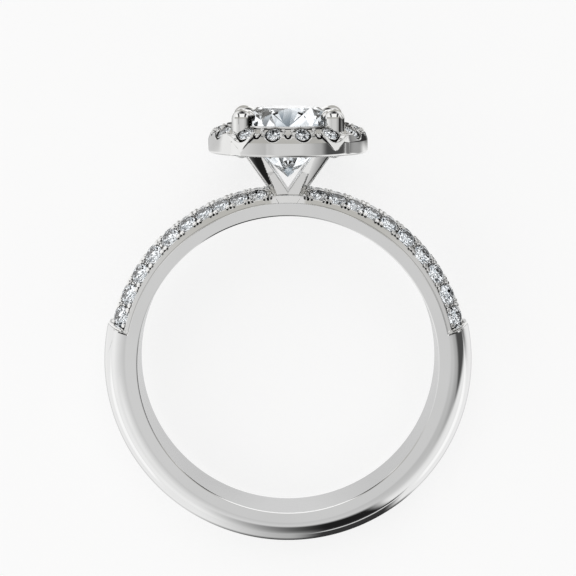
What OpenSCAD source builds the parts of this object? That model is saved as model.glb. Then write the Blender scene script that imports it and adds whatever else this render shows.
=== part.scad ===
// Halo ring: a round brilliant in four claws, a round scalloped halo and
// paved shoulders on a domed shank. The ring lies on its side, as it rests:
// the far edge of the halo and the far side of the shank touch the surface.
//
// Every piece is drawn in the ring's own frame first: the finger axis is Y,
// the head is up along Z and the centre of the finger hole is the origin.
// lie_down() then turns and lifts the whole ring onto the surface.

/* [Shank] */
// Diameter of the finger bore (16.5 is the usual size 6)
bore_d = 16.5; // [16.3:0.1:16.7]
// Width of the band, measured along the finger
band_w = 3.17; // [3.1:0.01:3.3]
// Radius at which the flat side of the plain shank turns into the dome
flat_r = 8.8; // [8.7:0.05:8.9]
// Height of the dome above the flat side
dome_h = 1.4; // [1.3:0.05:1.5]
// Small bevel at the edges of the bore
edge_bevel = 0.08; // [0.04:0.01:0.12]

/* [Paved shoulders] */
// Angle from the top at which a paved shoulder starts
pave_from = 7.6; // [7:0.1:9]
// Angle from the top at which the pavement ends
pave_to = 77.8; // [74:0.1:78]
// Angle from the top at which the plain domed shank starts
plain_from = 78.6; // [78.4:0.1:80]
// Radius at which the side of a shoulder turns into its bevel
rim_r = 8.97; // [8.9:0.01:9]
// Width of the bed that holds the small stones
bed_w = 2.66; // [2.6:0.01:2.7]
// Radius of the floor of the bed
bed_r = 8.8; // [8.75:0.01:8.85]
// Radius of the ridge of the pavement near the head
ridge_top_r = 9.78; // [9.7:0.01:9.85]
// Radius of the ridge of the pavement at its lower end
ridge_low_r = 10.02; // [9.95:0.01:10.05]

/* [Centre stone] */
// Diameter of the centre stone
stone_d = 6.15; // [6.05:0.01:6.2]
// Diameter of its table
table_d = 3.36; // [3.2:0.01:3.5]
// Height of the culet above the centre of the finger hole
culet_z = 10.22; // [10.2:0.01:10.25]
// Height of the lower edge of the girdle
girdle_z = 12.95; // [12.93:0.01:12.97]
// Thickness of the girdle
girdle_h = 0.18; // [0.15:0.01:0.2]
// Height of the table
table_z = 14.07; // [14.02:0.01:14.1]

/* [Halo] */
// Outer radius of the halo
halo_r = 4.34; // [4.3:0.01:4.4]
// Height of the underside of the halo
halo_z = 11.62; // [11.6:0.01:11.7]
// Height of the top of the outer wall
wall_z = 12.7; // [12.66:0.01:12.74]
// Inner radius of the groove that holds the small stones
groove_in = 3.42; // [3.4:0.01:3.44]
// Outer radius of that groove
groove_out = 4.2; // [4.18:0.01:4.22]
// Height of the floor of the groove
groove_z = 12.42; // [12.4:0.01:12.46]
// Radius of each round scallop in the outer wall
scallop_r = 0.47; // [0.44:0.01:0.5]
// Height of the middle of the scallops
scallop_z = 12.85; // [12.82:0.01:12.88]

/* [Claws] */
// Distance of each claw from the middle, across the finger
claw_x = 2.45; // [2.42:0.01:2.48]
// Distance of each claw from the middle, along the finger
claw_y = 2.25; // [2.2:0.01:2.3]
// Radius of a claw above the halo
claw_r = 0.56; // [0.52:0.01:0.58]
// Radius of a leg below the halo
leg_r = 0.42; // [0.38:0.01:0.45]
// Height of the top of a claw
claw_top = 14.1; // [14.05:0.01:14.15]

/* [Fit] */
// Gap between a stone or a pavement and the metal around it
gap = 0.04; // [0.03:0.01:0.05]

/* [Hidden] */

bore_r = bore_d / 2;
half_w = band_w / 2;
halo_fillet = 0.15;
rim_top = 13.19;        // top of the thin seat ring round the centre stone
seat_in = 3.12;         // inner radius of that ring
seat_out = 3.33;        // outer radius of that ring
halo_bore = 2.75;       // open middle of the halo, under the stone
leg_z0 = 9.0;           // height at which the four legs start, inside the shank
bend_z = 12.5;          // height at which a leg turns up into its claw
leg_x0 = 0.1;           // distance of a leg from the middle where it starts
leg_y0 = leg_x0 * claw_y / claw_x;
// Angles of the small halo stones from the front, on one side of the ring
halo_angles = [11, 35, 62, 90, 118, 145, 169];

// ---- how the ring rests --------------------------------------------------
// The ring leans back until the round lower edge of the halo and the dome at
// the bottom of the shank touch one plane; this finds that lean.
function lean(t, n) = n == 0 ? t :
    lean((halo_r - halo_fillet + halo_fillet * sqrt(1 + t * t)
          - sqrt(half_w * half_w + dome_h * dome_h * t * t))
         / (halo_z + halo_fillet + flat_r), n - 1);
tilt = atan(lean(0.13, 12));
rest_h = flat_r * sin(tilt)
    + sqrt(pow(half_w * cos(tilt), 2) + pow(dome_h * sin(tilt), 2));
// Extent along the surface, from the bottom of the shank to the claw tips
low_end = flat_r * cos(tilt)
    + sqrt(pow(dome_h * cos(tilt), 2) + pow(half_w * sin(tilt), 2));
high_end = (claw_top - claw_r) * cos(tilt) + claw_y * sin(tilt) + claw_r;
shift = (low_end - high_end) / 2;

module lie_down() {
    translate([0, shift, rest_h]) rotate([tilt - 90, 0, 0]) children();
}

// Turns a shape drawn round Z so that it stands round the finger axis
module round_finger() { rotate([90, 0, 0]) children(); }

// ---- outlines ------------------------------------------------------------
// Half outline of a band: bore, bevels, flat sides and a domed outside
function dome(r, h, n) = [for (i = [0 : n])
    let (u = -90 + 180 * i / n) [r + h * cos(u), half_w * sin(u)]];

module band_outline(r, h) {
    polygon(concat(
        [[bore_r, -half_w + edge_bevel], [bore_r + edge_bevel, -half_w]],
        dome(r, h, 20),
        [[bore_r + edge_bevel, half_w], [bore_r, half_w - edge_bevel]]));
}

// Sector between two angles from the top, on the right-hand side
module sector(from, to, depth) {
    translate([0, 0, -depth / 2]) linear_extrude(depth)
        polygon([[0, 0], [14 * sin(from), 14 * cos(from)],
                 [14 * sin((from + to) / 2) / cos((to - from) / 2),
                  14 * cos((from + to) / 2) / cos((to - from) / 2)],
                 [14 * sin(to), 14 * cos(to)]]);
}

// ---- centre stone --------------------------------------------------------
module brilliant(extra) {
    rotate_extrude($fn = 96) polygon([
        [0, culet_z - extra * 1.4],
        [stone_d / 2 + extra, girdle_z],
        [stone_d / 2 + extra, girdle_z + girdle_h],
        [table_d / 2 + extra / 2, table_z + extra],
        [0, table_z + extra]]);
}

// ---- head ----------------------------------------------------------------
// A straight round bar from one point to another
module bar(a, b, r) {
    d = b - a;
    translate(a) rotate([0, acos(d[2] / norm(d)), atan2(d[1], d[0])])
        cylinder(h = norm(d), r = r, $fn = 40);
}

module claw(sx, sy) {
    foot = [sx * leg_x0, sy * leg_y0, leg_z0];
    bend = [sx * claw_x, sy * claw_y, bend_z];
    lean_in = 0.86;
    bar(foot, bend, leg_r);
    // upright part, its rounded top and the lip that reaches over the stone
    translate(bend) sphere(r = claw_r, $fn = 48);
    translate(bend) cylinder(h = claw_top - claw_r - bend_z, r = claw_r, $fn = 48);
    translate([sx * claw_x, sy * claw_y, claw_top - claw_r])
        sphere(r = claw_r, $fn = 48);
    translate([sx * claw_x * lean_in, sy * claw_y * lean_in, claw_top - 0.46])
        sphere(r = 0.44, $fn = 48);
}

module halo_frame() {
    f = halo_fillet;
    rotate_extrude($fn = 128) difference() {
        union() {
            polygon(concat(
                [[halo_bore, halo_z], [halo_r - f, halo_z]],
                [for (i = [0 : 6]) let (u = -90 + 15 * i)
                    [halo_r - f + f * cos(u), halo_z + f + f * sin(u)]],
                [[halo_r, wall_z - 0.06], [halo_r - 0.06, wall_z],
                 [groove_in, 13.04], [seat_out, 13.04],
                 [seat_out, rim_top - 0.03], [seat_out - 0.03, rim_top],
                 [seat_in, rim_top], [seat_in, girdle_z - 0.02],
                 [halo_bore, girdle_z - 0.02
                    - (seat_in - halo_bore) * (girdle_z - culet_z) / (stone_d / 2)]]));
        }
        // groove for the small stones
        translate([groove_in, groove_z]) square([groove_out - groove_in, 2]);
    }
}

module halo_scallops() {
    for (s = [-1, 1], a = halo_angles)
        translate([0, 0, scallop_z]) rotate([0, 0, -90 + s * a]) rotate([0, 90, 0])
            translate([0, 0, groove_out - 0.1])
                cylinder(h = 0.5, r = scallop_r, $fn = 36);
}

module mounting() {
    color("gainsboro") lie_down() difference() {
        union() {
            round_finger() {
                // plain shank, with the part under the shoulders left out
                difference() {
                    rotate_extrude($fn = 144) band_outline(flat_r, dome_h);
                    linear_extrude(band_w + 2, center = true)
                        polygon([[0, 0],
                            [20 * sin(plain_from), 20 * cos(plain_from)],
                            [20 * sin(plain_from), 24],
                            [-20 * sin(plain_from), 24],
                            [-20 * sin(plain_from), 20 * cos(plain_from)]]);
                }
                // lower body that runs all the way round, with the two beds
                difference() {
                    rotate_extrude($fn = 144) band_outline(rim_r - 0.13, 0.53);
                    for (m = [0, 1]) mirror([m, 0, 0])
                        intersection() {
                            rotate_extrude($fn = 144)
                                translate([bed_r, -bed_w / 2]) square([2, bed_w]);
                            sector(pave_from, pave_to, band_w + 1);
                        }
                }
            }
            // foot of the head, four legs with claws and the halo
            translate([0, 0, 8.9]) cylinder(h = 0.55, r1 = 1.25, r2 = 0.85, $fn = 48);
            for (sx = [-1, 1], sy = [-1, 1]) claw(sx, sy);
            difference() {
                halo_frame();
                halo_scallops();
            }
        }
        brilliant(gap);
    }
}

module centre_stone() {
    color("aliceblue") lie_down() brilliant(0);
}

module halo_stones() {
    color("lightcyan") lie_down() difference() {
        rotate_extrude($fn = 128) polygon([
            [groove_in + gap, groove_z + gap], [groove_out - gap, groove_z + gap],
            [groove_out - gap, 12.9 - (groove_out - gap - 3.85) * tan(25)],
            [groove_in + gap, 12.9 + (3.85 - groove_in - gap) * tan(25)]]);
        for (sx = [-1, 1], sy = [-1, 1])
            translate([sx * claw_x, sy * claw_y, bend_z - 1])
                cylinder(h = 3, r = claw_r + gap, $fn = 48);
    }
}

// ---- pavement of a shoulder ----------------------------------------------
// Sections of the pavement from the head end to the lower end: a bar with a
// roof whose ridge rises towards the lower end
pave_n = 26;
pave_gap = 0.35;                              // end clearance in degrees
function pave_section(t) =
    let (h = bed_w / 2 - gap, r = ridge_top_r + (ridge_low_r - ridge_top_r) * t)
    [[-h, bed_r + gap], [h, bed_r + gap], [h, 9.2], [h - 0.15, 9.3],
     [0.25, r], [-0.25, r], [-h + 0.15, 9.3], [-h, 9.2]];
function pave_ring(i) =
    let (t = i / pave_n,
         a = pave_from + pave_gap + (pave_to - pave_from - 2 * pave_gap) * t)
    [for (p = pave_section(t)) [p[1] * sin(a), p[0], p[1] * cos(a)]];

module pavement() {
    k = 8;
    points = [for (i = [0 : pave_n]) each pave_ring(i)];
    sides = [for (i = [0 : pave_n - 1], j = [0 : k - 1]) each [
        [i * k + j, (i + 1) * k + j, i * k + (j + 1) % k],
        [(i + 1) * k + j, (i + 1) * k + (j + 1) % k, i * k + (j + 1) % k]]];
    polyhedron(points = points, faces = concat(sides,
        [[for (j = [0 : k - 1]) j]],
        [[for (j = [k - 1 : -1 : 0]) pave_n * k + j]]));
}

module shoulder_stones_left() {
    color("lightcyan") lie_down() mirror([1, 0, 0]) pavement();
}

module shoulder_stones_right() {
    color("lightcyan") lie_down() pavement();
}

mounting();
centre_stone();
halo_stones();
shoulder_stones_left();
shoulder_stones_right();
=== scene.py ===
import math

import bpy
import numpy as np
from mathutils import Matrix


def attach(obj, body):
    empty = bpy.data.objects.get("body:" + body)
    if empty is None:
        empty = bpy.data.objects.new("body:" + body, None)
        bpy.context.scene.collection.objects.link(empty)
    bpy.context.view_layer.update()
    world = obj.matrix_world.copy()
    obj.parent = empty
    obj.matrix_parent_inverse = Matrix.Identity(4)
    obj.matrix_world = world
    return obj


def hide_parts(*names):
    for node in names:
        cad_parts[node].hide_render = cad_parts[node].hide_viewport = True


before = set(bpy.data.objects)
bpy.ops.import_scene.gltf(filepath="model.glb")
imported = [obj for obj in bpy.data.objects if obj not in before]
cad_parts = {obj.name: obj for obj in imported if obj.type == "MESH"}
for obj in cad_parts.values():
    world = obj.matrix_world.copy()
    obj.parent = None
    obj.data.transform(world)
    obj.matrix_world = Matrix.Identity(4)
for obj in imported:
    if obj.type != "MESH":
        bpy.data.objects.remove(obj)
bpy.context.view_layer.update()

# --------------------------------------------------------------------------
# The ring is drawn in its own frame, in millimetres: the finger axis is Y,
# the head is up along Z, the middle of the finger hole is the origin. The
# ring then lies down as the CAD model does.
# --------------------------------------------------------------------------
SN, CS = 0.13229098, 0.99121092
REST_H, SHIFT = 2.7461090, -2.0762736


def lie(points):
    p = np.asarray(points, float)
    return np.stack([p[:, 0],
                     p[:, 2] * CS + p[:, 1] * SN + SHIFT,
                     p[:, 2] * SN - p[:, 1] * CS + REST_H], 1) * 0.001


def lie_dir(v):
    v = np.asarray(v, float)
    return np.stack([v[:, 0], v[:, 2] * CS + v[:, 1] * SN,
                     v[:, 2] * SN - v[:, 1] * CS], 1)


def add_mesh(name, verts, faces, vertex_normals=None, corner_normals=None,
             smooth=True, painted_shade=None):
    mesh = bpy.data.meshes.new(name)
    mesh.from_pydata(lie(verts).tolist(), [], [list(map(int, f)) for f in faces])
    mesh.update()
    mesh.polygons.foreach_set("use_smooth", [smooth] * len(mesh.polygons))
    if vertex_normals is not None:
        mesh.normals_split_custom_set_from_vertices(lie_dir(vertex_normals).tolist())
    if corner_normals is not None:
        mesh.normals_split_custom_set(lie_dir(corner_normals).tolist())
    # painted shade: a value per vertex that the metal's material turns into darkening
    if painted_shade is not None:
        att = mesh.attributes.new("painted_shade", "FLOAT", "POINT")
        att.data.foreach_set("value", np.asarray(painted_shade, np.float32))
    obj = bpy.data.objects.new(name, mesh)
    bpy.context.scene.collection.objects.link(obj)
    return obj


def finish_piece(obj, material, slot, *nodes):
    obj.data.materials.append(material)
    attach(obj, "root")
    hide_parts(*nodes)
    return obj


# --------------------------------------------------------------------------
# Materials
# --------------------------------------------------------------------------
def nodes_of(mat):
    mat.use_nodes = True
    nt = mat.node_tree
    nt.nodes.clear()
    out = nt.nodes.new("ShaderNodeOutputMaterial")
    return nt, out


def metal_material(name, tone_a, tone_b, rough_lo, rough_hi, bump, painted_dark_range=None):
    """White gold: faint cloudy tone, polishing haze, very fine hairlines; painted shade, stored on the mesh, darkens it
    in its hollows and other shaded spots.
    """
    mat = bpy.data.materials.new(name)
    nt, out = nodes_of(mat)
    n, l = nt.nodes, nt.links
    b = n.new("ShaderNodeBsdfPrincipled")
    b.inputs["Metallic"].default_value = 1.0
    b.inputs["Specular IOR Level"].default_value = 0.5
    tc = n.new("ShaderNodeTexCoord")
    cloud = n.new("ShaderNodeTexNoise")
    cloud.inputs["Scale"].default_value = 260.0
    cloud.inputs["Detail"].default_value = 3.0
    l.new(tc.outputs["Object"], cloud.inputs["Vector"])
    tone = n.new("ShaderNodeValToRGB")
    tone.color_ramp.elements[0].position = 0.3
    tone.color_ramp.elements[0].color = (*tone_a, 1)
    tone.color_ramp.elements[1].position = 0.7
    tone.color_ramp.elements[1].color = (*tone_b, 1)
    l.new(cloud.outputs["Fac"], tone.inputs["Fac"])
    if painted_dark_range is None:
        l.new(tone.outputs["Color"], b.inputs["Base Color"])
    else:
        # painted shade: the stored value darkens the base colour towards black over the given range
        shade_attr = n.new("ShaderNodeAttribute")
        shade_attr.attribute_name = "painted_shade"
        mr = n.new("ShaderNodeMapRange")
        mr.inputs["From Min"].default_value = painted_dark_range[0]
        mr.inputs["From Max"].default_value = painted_dark_range[1]
        l.new(shade_attr.outputs["Fac"], mr.inputs["Value"])
        mx = n.new("ShaderNodeMix")
        mx.data_type = "RGBA"
        ins = [q for q in mx.inputs if q.type == "RGBA"]
        l.new(mr.outputs["Result"], mx.inputs["Factor"])
        l.new(tone.outputs["Color"], ins[0])
        ins[1].default_value = (0.012, 0.012, 0.011, 1)
        l.new([q for q in mx.outputs if q.type == "RGBA"][0], b.inputs["Base Color"])
    haze = n.new("ShaderNodeTexNoise")
    haze.inputs["Scale"].default_value = 900.0
    haze.inputs["Detail"].default_value = 4.0
    l.new(tc.outputs["Object"], haze.inputs["Vector"])
    rr = n.new("ShaderNodeMapRange")
    rr.inputs["From Min"].default_value = 0.3
    rr.inputs["From Max"].default_value = 0.7
    rr.inputs["To Min"].default_value = rough_lo
    rr.inputs["To Max"].default_value = rough_hi
    l.new(haze.outputs["Fac"], rr.inputs["Value"])
    l.new(rr.outputs["Result"], b.inputs["Roughness"])
    # fine polishing lines that follow the band
    mp = n.new("ShaderNodeMapping")
    mp.inputs["Scale"].default_value = (2500.0, 2500.0, 16000.0)
    l.new(tc.outputs["Object"], mp.inputs["Vector"])
    hair = n.new("ShaderNodeTexNoise")
    hair.inputs["Scale"].default_value = 1.0
    hair.inputs["Detail"].default_value = 2.0
    l.new(mp.outputs["Vector"], hair.inputs["Vector"])
    bp = n.new("ShaderNodeBump")
    bp.inputs["Strength"].default_value = bump
    bp.inputs["Distance"].default_value = 0.000002
    l.new(hair.outputs["Fac"], bp.inputs["Height"])
    l.new(bp.outputs["Normal"], b.inputs["Normal"])
    l.new(b.outputs["BSDF"], out.inputs["Surface"])
    return mat


def stone_material(name, tint_a, tint_b, ior):
    """Clear diamond: sharp refraction with a very faint bluish cloud."""
    mat = bpy.data.materials.new(name)
    nt, out = nodes_of(mat)
    n, l = nt.nodes, nt.links
    b = n.new("ShaderNodeBsdfPrincipled")
    b.inputs["Transmission Weight"].default_value = 1.0
    b.inputs["IOR"].default_value = ior
    b.inputs["Roughness"].default_value = 0.0
    tc = n.new("ShaderNodeTexCoord")
    cloud = n.new("ShaderNodeTexNoise")
    cloud.inputs["Scale"].default_value = 700.0
    cloud.inputs["Detail"].default_value = 3.0
    l.new(tc.outputs["Object"], cloud.inputs["Vector"])
    tone = n.new("ShaderNodeValToRGB")
    tone.color_ramp.elements[0].position = 0.35
    tone.color_ramp.elements[0].color = (*tint_a, 1)
    tone.color_ramp.elements[1].position = 0.65
    tone.color_ramp.elements[1].color = (*tint_b, 1)
    l.new(cloud.outputs["Fac"], tone.inputs["Fac"])
    l.new(tone.outputs["Color"], b.inputs["Base Color"])
    l.new(b.outputs["BSDF"], out.inputs["Surface"])
    return mat


gold = metal_material("white_gold_polished", (0.800, 0.800, 0.797), (0.835, 0.835, 0.832),
                      0.030, 0.055, 0.10)
# a darker copy of the band's metal for the bore: painted shade inside the band; the bore is also rougher
shaded_bore_metal = metal_material("white_gold_bore_in_shade", (0.625, 0.625, 0.625), (0.655, 0.655, 0.655),
                           0.10, 0.16, 0.12)
# the setting and the halo take painted shade from their meshes over the last range given
gold_set = metal_material("white_gold_setting", (0.895, 0.891, 0.878), (0.925, 0.921, 0.91),
                          0.035, 0.080, 0.05, painted_dark_range=(0.46, 0.86))
gold_halo = metal_material("white_gold_halo", (0.815, 0.812, 0.803), (0.85, 0.848, 0.838),
                           0.030, 0.060, 0.05, painted_dark_range=(0.30, 0.62))
centre_mat = stone_material("centre_diamond", (0.93, 0.95, 0.965), (0.97, 0.98, 0.99), 2.417)
small_mat = stone_material("small_diamonds", (0.93, 0.955, 0.975), (0.985, 0.995, 1.0), 2.417)


# --------------------------------------------------------------------------
# Implicit surfaces: a small surface-nets mesher with exact normals
# --------------------------------------------------------------------------
def sphere(p, c, r):
    return np.sqrt(((p - np.asarray(c)) ** 2).sum(-1)) - r


def capsule(p, a, b, r):
    a, b = np.asarray(a, float), np.asarray(b, float)
    ab = b - a
    t = np.clip(((p - a) @ ab) / (ab @ ab), 0, 1)
    return np.sqrt(((p - a - t[..., None] * ab) ** 2).sum(-1)) - r


def ellipsoid(p, c, axes, radii):
    q = (p - np.asarray(c)) @ np.asarray(axes, float).T
    k = np.sqrt(((q / np.asarray(radii)) ** 2).sum(-1))
    return (k - 1) * min(radii)


def smin(a, b, k):
    h = np.clip(0.5 + 0.5 * (b - a) / k, 0, 1)
    return b + (a - b) * h - k * h * (1 - h)


def smax(a, b, k):
    return -smin(-a, -b, k)


def rmax(a, b, r):
    """Intersection with an edge rounded to radius r."""
    u, v = np.maximum(a + r, 0), np.maximum(b + r, 0)
    return np.minimum(np.maximum(a + r, b + r), 0) + np.hypot(u, v) - r


def surface_nets(F, wrap):
    nx, ny, nz = F.shape
    cx = nx if wrap else nx - 1

    def corner(di, dj, dk):
        a = np.roll(F, -di, 0)[:cx] if wrap else F[di:nx - 1 + di]
        return a[:, dj:ny - 1 + dj, dk:nz - 1 + dk]

    offs = [(i, j, k) for i in (0, 1) for j in (0, 1) for k in (0, 1)]
    count = sum((corner(*o) < 0).astype(np.int8) for o in offs)
    cells = np.argwhere((count > 0) & (count < 8))
    ids = -np.ones(count.shape, np.int64)
    ids[cells[:, 0], cells[:, 1], cells[:, 2]] = np.arange(len(cells))
    val = {o: F[(cells[:, 0] + o[0]) % nx, cells[:, 1] + o[1], cells[:, 2] + o[2]]
           for o in offs}
    acc = np.zeros((len(cells), 3))
    num = np.zeros(len(cells))
    for o in offs:
        for ax in range(3):
            if o[ax]:
                continue
            q = list(o)
            q[ax] = 1
            q = tuple(q)
            a, b = val[o], val[q]
            m = (a < 0) != (b < 0)
            t = np.where(m, a / np.where(m, a - b, 1), 0)
            pos = np.array(o, float)[None, :].repeat(len(cells), 0)
            pos[:, ax] = t
            acc += pos * m[:, None]
            num += m
    frac = cells + acc / num[:, None]
    quads = []
    S = F < 0

    def at(i, j, k):
        return ids[i % cx if wrap else i, j, k]

    # edges along x
    A = S[:cx]
    B = np.roll(S, -1, 0)[:cx] if wrap else S[1:]
    e = np.argwhere(A[:, 1:-1, 1:-1] != B[:, 1:-1, 1:-1])
    i, j, k = e[:, 0], e[:, 1] + 1, e[:, 2] + 1
    q = np.stack([at(i, j - 1, k - 1), at(i, j, k - 1), at(i, j, k), at(i, j - 1, k)], 1)
    flip = ~A[i, j, k]
    q[flip] = q[flip][:, ::-1]
    quads.append(q)
    # edges along y
    i0 = 0 if wrap else 1
    i1 = nx if wrap else nx - 1
    A, B = S[i0:i1, :-1], S[i0:i1, 1:]
    e = np.argwhere(A[:, :, 1:-1] != B[:, :, 1:-1])
    i, j, k = e[:, 0] + i0, e[:, 1], e[:, 2] + 1
    q = np.stack([at(i - 1, j, k - 1), at(i - 1, j, k), at(i, j, k), at(i, j, k - 1)], 1)
    flip = ~S[i, j, k]
    q[flip] = q[flip][:, ::-1]
    quads.append(q)
    # edges along z
    A, B = S[i0:i1, :, :-1], S[i0:i1, :, 1:]
    e = np.argwhere(A[:, 1:-1] != B[:, 1:-1])
    i, j, k = e[:, 0] + i0, e[:, 1] + 1, e[:, 2]
    q = np.stack([at(i - 1, j - 1, k), at(i, j - 1, k), at(i, j, k), at(i - 1, j, k)], 1)
    flip = ~S[i, j, k]
    q[flip] = q[flip][:, ::-1]
    quads.append(q)
    quads = np.concatenate(quads)
    quads = quads[(quads >= 0).all(1)]
    return frac, quads


def gradient(func, p, e):
    g = np.empty_like(p)
    for ax in range(3):
        d = np.zeros(3)
        d[ax] = e
        g[:, ax] = (func(p + d) - func(p - d)) / (2 * e)
    return g


def implicit(func, axes, where, wrap=False, fine=0.012, cell=0.05, cover=None):
    """Vertices, quads and normals of func's zero surface on a curvilinear grid."""
    u, v, w = axes
    U, V, W = np.meshgrid(u, v, w, indexing="ij")
    F = func(where(U.ravel(), V.ravel(), W.ravel())).reshape(U.shape)
    frac, quads = surface_nets(F, wrap)

    def lerp(a, f):
        step = a[1] - a[0]
        return a[0] + step * f

    P = where(lerp(u, frac[:, 0]), lerp(v, frac[:, 1]), lerp(w, frac[:, 2]))
    start = P.copy()
    for _ in range(5):
        f = func(P)
        g = gradient(func, P, 0.004)
        gg = np.maximum((g * g).sum(1), 0.05)
        step = -(f / gg)[:, None] * g
        length = np.linalg.norm(step, axis=1, keepdims=True)
        step *= np.minimum(1, 0.5 * cell / np.maximum(length, 1e-9))
        P = P + step
        away = P - start
        far = np.linalg.norm(away, axis=1, keepdims=True)
        P = start + away * np.minimum(1, cell / np.maximum(far, 1e-9))
    N = gradient(func, P, fine)
    N /= np.maximum(np.linalg.norm(N, axis=1, keepdims=True), 1e-9)
    a, b, c, d = (P[quads[:, m]] for m in range(4))
    fn = np.cross(c - a, d - b)
    if (fn * N[quads[:, 0]]).sum() < 0:
        quads = quads[:, ::-1]
    # how closed in each point is: 0 in the open, 1 at the bottom of a narrow hole; it serves as painted shade in
    # hollows
    closed = np.zeros(len(P))
    for d in (0.05, 0.11, 0.20):
        space = func(P + N * d)
        if cover is not None:
            space = np.minimum(space, cover(P + N * d))
        closed += np.clip(1 - space / d, 0, 1) / 3
    return P, quads, N, closed


def cartesian(u, v, w):
    return np.stack([u, v, w], 1)


def round_finger(th, y, r):
    """Angle from the top in degrees, place along the finger, radius."""
    t = np.radians(th)
    return np.stack([r * np.sin(t), y, r * np.cos(t)], 1)


def round_head(ph, R, z):
    """Angle from the front in degrees, radius from the head's axis, height."""
    t = np.radians(ph)
    return np.stack([R * np.sin(t), -R * np.cos(t), z + 0 * t], 1)


def mirrored(P, Q, N, H, sx, sy):
    m = np.array([sx, sy, 1.0])
    return P * m, (Q if sx * sy > 0 else Q[:, ::-1]), N * m, H


def joined(parts):
    Ps, Qs, Ns, Hs, base = [], [], [], [], 0
    for P, Q, N, H in parts:
        Ps.append(P)
        Qs.append(Q + base)
        Ns.append(N)
        Hs.append(H)
        base += len(P)
    return np.concatenate(Ps), np.concatenate(Qs), np.concatenate(Ns), np.concatenate(Hs)


# --------------------------------------------------------------------------
# Round brilliant cut
# --------------------------------------------------------------------------
def brilliant(table, crown, pavilion, girdle, lower=0.77, star=0.52, arc=1):
    """Unit stone of radius 1, girdle middle at z 0. Returns vertices and faces."""
    V, F, index = [], [], {}

    def vert(p):
        key = tuple(np.round(p, 6))
        if key not in index:
            index[key] = len(V)
            V.append(tuple(p))
        return index[key]

    def pol(r, a, z):
        return (r * math.cos(a), r * math.sin(a), z)

    tc, tp = math.tan(math.radians(crown)), math.tan(math.radians(pavilion))
    g1, g2 = girdle / 2, -girdle / 2
    step = math.pi / 8
    zt = g1 + (1 - table) * tc
    mid = table * math.cos(step)
    rs = (mid + star * (1 - mid)) / math.cos(step) * 0.985
    zs = g1 + (1 - rs * math.cos(step)) * tc
    rl = (1 - lower) / math.cos(step) * 1.05
    zl = g2 - (1 - rl * math.cos(step)) * tp
    cul = (0, 0, g2 - tp)
    T = [pol(table, 2 * k * step, zt) for k in range(8)]
    S = [pol(rs, (2 * k + 1) * step, zs) for k in range(8)]
    L = [pol(rl, (2 * k + 1) * step, zl) for k in range(8)]
    F.append([vert(p) for p in T])

    def rim(j, apex, z0):
        """Points on the girdle from j to j+1, on the plane through apex and both ends."""
        a0, a1 = j * step, (j + 1) * step
        p0, p1 = np.array(pol(1, a0, z0)), np.array(pol(1, a1, z0))
        nrm = np.cross(p1 - p0, np.array(apex) - p0)
        pts = []
        for m in range(arc + 1):
            a = a0 + (a1 - a0) * m / arc
            q = np.array(pol(1, a, z0))
            if 0 < m < arc:
                q[2] = z0 - (nrm[0] * (q[0] - p0[0]) + nrm[1] * (q[1] - p0[1])) / nrm[2]
            pts.append(tuple(q))
        return pts

    upper, low = [], []
    for k in range(8):
        F.append([vert(T[k]), vert(S[k - 1]), vert(pol(1, 2 * k * step, g1)), vert(S[k])])
        F.append([vert(T[k]), vert(S[k]), vert(T[(k + 1) % 8])])
        F.append([vert(pol(1, 2 * k * step, g2)), vert(L[k - 1]), vert(cul), vert(L[k])])
    for j in range(16):
        s = S[j // 2]
        e = L[j // 2]
        r1, r2 = rim(j, s, g1), rim(j, e, g2)
        F.append([vert(s)] + [vert(p) for p in r1])
        F.append([vert(e)] + [vert(p) for p in r2[::-1]])
        for m in range(arc):
            F.append([vert(r2[m]), vert(r2[m + 1]), vert(r1[m + 1]), vert(r1[m])])
    V = np.array(V)
    # every face turned outward
    for n, f in enumerate(F):
        pts = V[f]
        nrm = np.zeros(3)
        for m in range(len(f)):
            nrm += np.cross(pts[m], pts[(m + 1) % len(f)])
        if nrm @ (pts.mean(0) - np.array([0, 0, -0.2])) < 0:
            F[n] = f[::-1]
    return V, F


def place(V, radius, centre, normal, turn):
    """Stone vertices with its axis along normal."""
    n = np.asarray(normal, float)
    n = n / np.linalg.norm(n)
    a = np.cross([0.0, 1.0, 0.0], n)
    a /= np.linalg.norm(a)
    b = np.cross(n, a)
    c, s = math.cos(turn), math.sin(turn)
    x, y = a * c + b * s, -a * s + b * c
    return (V[:, :1] * x + V[:, 1:2] * y + V[:, 2:] * n) * radius + np.asarray(centre)


def stones_mesh(name, items, shape):
    V0, F0 = shape
    V, F = [], []
    for radius, centre, normal, turn in items:
        base = len(V) * len(V0)
        V.append(place(V0, radius, centre, normal, turn))
        F += [[i + base for i in f] for f in F0]
    return add_mesh(name, np.concatenate(V), F, smooth=False)


# --------------------------------------------------------------------------
# Shank: plain domed part and the base of the two shoulders
# --------------------------------------------------------------------------
HW, BORE = 1.5838, 8.25
PLAIN = 78.6


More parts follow.
